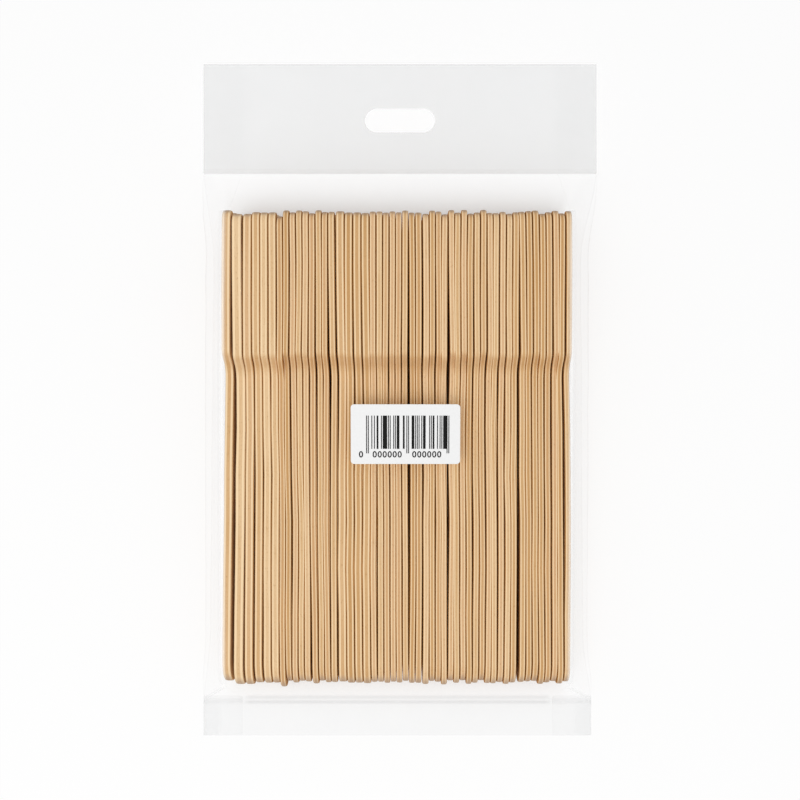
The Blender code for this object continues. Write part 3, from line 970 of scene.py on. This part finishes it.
def leaf(mesh, height):
    """One flat leaf of the strip with the slot cut out. Returns its top edge's two corners."""
    top = strip_high.y - half_strip
    slot = [(header_axis + x * SLOT_WIDTH / 2, header_top - SLOT_BELOW_TOP + y * SLOT_HEIGHT / 2)
            for x, y in SQUARE]
    slot_loop = rounded_outline([(corner, None, 10) for corner in slot])
    rectangle = [(strip_low.x, weld), (strip_high.x, weld), (strip_high.x, top), (strip_low.x, top)]
    edges = []
    for loop in (rectangle, slot_loop):
        ring = [mesh.verts.new(Vector((p[0], p[1], height)) * MM) for p in loop]
        edges += [mesh.edges.new((ring[i - 1], ring[i])) for i in range(len(ring))]
        if loop is rectangle:
            corners = ring[3], ring[2]
    bmesh.ops.triangle_fill(mesh, edges=edges, use_beauty=True)
    return corners


def header_sheet(name, finish):
    """Two leaves joined by a round bend at the top."""
    shape = bmesh.new()
    radius = half_strip - STRIP / 2
    front, back = (leaf(shape, weld_height + side * radius) for side in (1, -1))
    before = front
    for step in range(1, BEND_STEPS + 1):
        angle = math.pi * step / BEND_STEPS
        y = strip_high.y - half_strip + radius * math.sin(angle)
        z = weld_height + radius * math.cos(angle)
        now = back if step == BEND_STEPS else tuple(
            shape.verts.new((x * MM, y * MM, z * MM)) for x in (strip_low.x, strip_high.x))
        shape.faces.new((before[0], before[1], now[1], now[0])).smooth = True
        before = now
    return piece_from_shape(name, shape, finish)


# %% [markdown]
# ### The frosted finish
#
# Frosted film scatters nearly all the light that meets it, so it looks pale grey and only half
# lets through what is behind. Rough glass would need far more light paths, so three simple
# surfaces are mixed: clear, matt and translucent. A slow cloud keeps it from looking like paint.


# %% Write the frosted shader
FROST = (0.86, 0.865, 0.87)
FROST_DARK = (0.80, 0.805, 0.81)
WELD_LINE, WELD_LINE_WIDTH = 0.5, 0.9


def frosted_film(tree):
    """Pale, matt, half see-through film."""
    position = tree.position()
    cloud = tree.noise(position, 22.0, 2.0)
    from_weld = tree.part(position, "Y") / MM - weld
    weld_line = tree.near(abs(from_weld - WELD_LINE), WELD_LINE_WIDTH)
    colour = tree.mixed(cloud, FROST_DARK, FROST)
    front = tree.node("ShaderNodeBsdfPrincipled", None, {
        "Base Color": colour, "Roughness": 0.45, "Specular IOR Level": 0.3,
        "Normal": tree.bump(tree.noise(position, 3000.0, 1.0), 0.1, 0.0001)})
    back = tree.node("ShaderNodeBsdfTranslucent", None, {"Color": colour})
    frost = tree.node("ShaderNodeMixShader", None, {0: 0.45, 1: front, 2: back})
    return tree.node("ShaderNodeMixShader", None, {
        0: 0.30 + cloud * 0.06 + weld_line * 0.1,
        1: tree.node("ShaderNodeBsdfTransparent"), 2: frost})


header = header_sheet("header_sheet", finish_from("frosted_film", frosted_film))
header.visible_shadow = False

# %% [markdown]
# ## The label's paper and ink
#
# The label is a small white sticker with a black thermal print. Its solid already has the right
# shape, so it only gets paper. The print is made of real, very thin pieces with an ink of their
# own, because they stay sharp at any distance.


# %% Write the label's finishes
PAPER_GREYS = (0.86, 0.86, 0.86), (0.93, 0.93, 0.93)
INK_GREYS = (0.002, 0.002, 0.002), (0.012, 0.012, 0.012)


def label_paper(tree):
    """White coated paper with a trace of fibre."""
    fibre = tree.noise(tree.position(), 1200.0, 3.0)
    return tree.node("ShaderNodeBsdfPrincipled", None, {
        "Base Color": tree.mixed(fibre, *PAPER_GREYS), "Roughness": 0.55 + fibre * 0.1,
        "Normal": tree.bump(fibre, 0.1, 0.0001)})


def label_ink(tree):
    """Black thermal print, a little worn."""
    wear = tree.noise(tree.position(), 2500.0, 2.0)
    return tree.node("ShaderNodeBsdfPrincipled", None, {
        "Base Color": tree.mixed(wear, *INK_GREYS), "Roughness": 0.6 + wear * 0.1,
        "Specular IOR Level": 0.1})


solids["label"].data.materials.clear()
solids["label"].data.materials.append(finish_from("label_paper", label_paper))
ink = finish_from("label_ink", label_ink)

# %% [markdown]
# ## The bar field
#
# A bar field is a line of equal modules. Here each is printed or left bare by a seeded chance, so
# the field is nobody's product number. Neighbouring printed modules make the wide bars, and longer
# guard bars stand at the ends and in the middle: a rule that Geometry Nodes follow well.


# %% Build the bar field
MODULES = 95
MODULE = 27.5 / MODULES
BAR_HEIGHT = 11.1
GUARD_DROP = 1.5
INK = 0.03
BAR_SEED = 4
GUARD_MODULES = 3.0
FIELD_LEFT = 5.1
FIELD_TOP = 3.75
EDGE_BAND = 0.6

label_low, label_high = box_in_mm("label")
label_corners = [corner.co / MM for corner in solids["label"].data.vertices]
highest = max(corner.z for corner in label_corners)
low_edge = max(c.z for c in label_corners if c.y < label_low.y + EDGE_BAND)
label_slope = math.atan2(highest - low_edge, label_high.y - label_low.y)
print("label slope:", round(math.degrees(label_slope), 2), "degrees")


def bar_field(tree):
    """Thin boxes that hang from a line, one for each printed module."""
    number, modules = tree.node("GeometryNodeInputIndex"), tree.given("Modules")
    line = tree.node("GeometryNodeMeshLine", None, {
        "Count": modules, "Offset": tree.vector(tree.given("Module"))})
    first = number.math("LESS_THAN", number, GUARD_MODULES)
    last = number.math("GREATER_THAN", number, modules - (GUARD_MODULES + 1.0))
    centre = number.math("LESS_THAN", abs(number - (modules - 1.0) / 2.0), GUARD_MODULES)
    guards = number.math("MAXIMUM", centre, first + last)
    chance = tree.node("FunctionNodeRandomValue", {"data_type": "BOOLEAN"}, {
        "Probability": 0.5, "ID": number, "Seed": tree.given("Seed")})
    printed = tree.node("GeometryNodeSwitch", {"input_type": "BOOLEAN"}, {
        "Switch": guards, "False": chance, "True": 1.0 - number.math("MODULO", number, 2.0)})
    height = tree.given("Bar Height") + guards * tree.given("Guard Drop")
    bar = tree.node("GeometryNodeMeshCube", None, {"Size": (1.0, 1.0, 1.0)})
    hung = tree.node("GeometryNodeTransform", None, {
        "Geometry": bar, "Translation": (0.5, -0.5, 0.5)})
    return tree.node("GeometryNodeInstanceOnPoints", None, {
        "Points": line, "Selection": printed, "Instance": hung,
        "Scale": tree.vector(tree.given("Module"), height, tree.given("Ink"))})


bars = piece_from_nodes("label_bars", bpy.data.meshes.new("start"), bar_field, ink, {
    "Module": ("Float", MODULE * MM), "Bar Height": ("Float", BAR_HEIGHT * MM),
    "Guard Drop": ("Float", GUARD_DROP * MM), "Ink": ("Float", INK * MM),
    "Modules": ("Int", MODULES), "Seed": ("Int", BAR_SEED)})

# %% [markdown]
# ### The noughts and the slope
#
# Below the bars stand noughts in place of a number. A text object draws them and is made a mesh
# before it is moved, because a finished piece stays at the origin. The label lies on sloping film,
# so all print is turned by the slope measured above.


# %% Lay the print on the label
DIGIT_SIZE = 2.9
DIGIT_BOLD = 0.05
DIGIT_SPACING = 1.14
DIGIT_RISE = 0.75 * DIGIT_SIZE
DIGIT_GAP = 0.65
DIGIT_GROUPS = ((-2.45, 1), (2.1, 6), (15.2, 6))
PRINT_LIFT = 0.01


def on_label(thing, across, down):
    """Move a flat piece, drawn from its top left corner, onto the label's sloping face."""
    corner = Vector((label_low.x + across, label_high.y, highest + PRINT_LIFT)) * MM
    place = Matrix.Translation(corner) @ Matrix.Rotation(label_slope, 4, "X")
    thing.data.transform(place @ Matrix.Translation((0.0, -down * MM, 0.0)))
    return thing


def noughts(name, count):
    """A short row of noughts as a mesh with a little thickness."""
    text = bpy.data.curves.new(name, "FONT")
    text.body = "0" * count
    text.size = DIGIT_SIZE * MM
    text.extrude = INK / 2 * MM
    text.offset = DIGIT_BOLD * MM
    text.space_character = DIGIT_SPACING
    mesh = plain_mesh(linked(name, text))
    mesh.materials.clear()
    mesh.materials.append(ink)
    return linked(name, mesh)


digits_top = FIELD_TOP + BAR_HEIGHT + DIGIT_RISE + DIGIT_GAP
printed = [on_label(bars, FIELD_LEFT, FIELD_TOP)]
for index, (across, count) in enumerate(DIGIT_GROUPS):
    digits = noughts(f"label_digits_{index + 1}", count)
    printed.append(on_label(digits, FIELD_LEFT + across, digits_top))
print("printed pieces:", len(printed))

# %% [markdown]
# ## What stands for what
#
# The row replaces the fifty fork solids, and the tube and the sheet replace the two film solids.
# Every piece rides on the pack's one body.

# %% Tie the pieces to the solids
for piece, names, slot in (
        (row, fork_names, "birch"), (film, ["bag_film"], "clear_film"),
        (header, ["header_strip"], "frosted_film")):
    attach(piece, "root")
    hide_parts(*names)
for piece in printed:
    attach(piece, "root")

# %% [markdown]
# ## The table
#
# The photograph shows the pack on plain white. The table is white to the camera and a little
# greyer to the light that it passes on, so that the pack isn't lit from below by a glowing floor.
# It keeps the pack's faint shadow, and past that it fades to plain white. Under the row it is
# brown, as if it only got light that the wood had passed on many times.


# %% Write the table's finish
WHITE = (1.0, 1.0, 1.0)


def white_to_camera(tree, for_light):
    """White for what the camera, a mirror or glass sees, and greyer for bounced light."""
    seen = sum(tree.node("ShaderNodeLightPath", output=f"Is {kind} Ray")
               for kind in ("Camera", "Glossy", "Transmission"))
    return tree.mixed(seen.math("MINIMUM", seen, 1.0), (for_light,) * 3, WHITE)


TABLE_HALF = 2.5
TABLE_GREY = 0.75
PLAIN_WHITE = 0.75
UNDER_ROW = 5.0
UNDER_WOOD = (0.40, 0.20, 0.07)
OPEN_BESIDE, OPEN_PAST_ENDS = 3.0, 16.0
FAR_START, FAR_END = 200.0, 700.0


def table_top(tree):
    """Pale and lit near the pack, plain white away from it, brown under the row."""
    spot = tree.position()

    def beyond(axis, low, high, past):
        """0 between two places along an axis, rising to 1 at a distance past them."""
        off = abs(tree.part(spot, axis) / MM - (low + high) / 2)
        return tree.banded(off, (high - low) / 2 - UNDER_ROW, (high - low) / 2 + past)

    def outside_row(beside, past_ends):
        """0 under the row and 1 at the given distances from it."""
        return spot.math("MAXIMUM", beyond("X", row_low.x, row_high.x, beside),
                         beyond("Y", fork_end, fork_tip, past_ends))

    distance = tree.node("ShaderNodeVectorMath", {"operation": "LENGTH"}, {0: spot}) / MM
    whitened = spot.math("MAXIMUM", outside_row(OPEN_BESIDE, OPEN_PAST_ENDS) * PLAIN_WHITE,
                         tree.banded(distance, FAR_START, FAR_END))
    shade = tree.mixed(outside_row(0.0, 0.0), UNDER_WOOD, white_to_camera(tree, TABLE_GREY))
    return tree.node("ShaderNodeMixShader", None, {
        0: tree.node("ShaderNodeLightPath", output="Is Camera Ray") * whitened,
        1: tree.node("ShaderNodeBsdfDiffuse", None, {"Color": shade}),
        2: tree.node("ShaderNodeEmission", None, {"Color": WHITE})})


plane = bpy.data.meshes.new("table")
plane.from_pydata([(x * TABLE_HALF, y * TABLE_HALF, 0.0) for x, y in SQUARE], [], [(0, 1, 2, 3)])
plane.materials.append(finish_from("table", table_top))
linked("table", plane)

# %% [markdown]
# ## The light and the camera
#
# A broad soft lamp over the pack and an even white room give the faint shadows between the forks,
# where a hard lamp would draw black lines. How much larger the heads look than the necks gives the
# camera's height.


# %% Room, lamp and camera
ROOM = 0.6
LAMP_SIZE = 0.8
LAMP_PLACE = (-0.12, -0.25, 0.9)
LAMP_POWER = 3.9
CAMERA_PLACE = (0.45, 0.7, 450.0)
VIEW_ANGLE = 34.77
NEAREST = 0.01

world = bpy.data.worlds.new("room")
bpy.context.scene.world = world
world.use_nodes = True
tree = Tree(world.node_tree)
sky = tree.node("ShaderNodeBackground", None, {"Color": white_to_camera(tree, ROOM)})
tree.node("ShaderNodeOutputWorld", None, {"Surface": sky})

lamp = bpy.data.lights.new("softbox", "AREA")
lamp.size = LAMP_SIZE
lamp.energy = LAMP_POWER
softbox = linked("softbox", lamp)
softbox.location = LAMP_PLACE
softbox.rotation_euler = (-softbox.location).to_track_quat("-Z", "Y").to_euler()

lens = bpy.data.cameras.new("camera")
lens.sensor_fit = "HORIZONTAL"
lens.angle = math.radians(VIEW_ANGLE)
lens.clip_start = NEAREST
camera = linked("camera", lens)
camera.location = Vector(CAMERA_PLACE) * MM
bpy.context.scene.camera = camera
bpy.context.scene.view_settings.view_transform = "Standard"
print("lamp at", LAMP_PLACE, "m, camera at", CAMERA_PLACE, "mm")
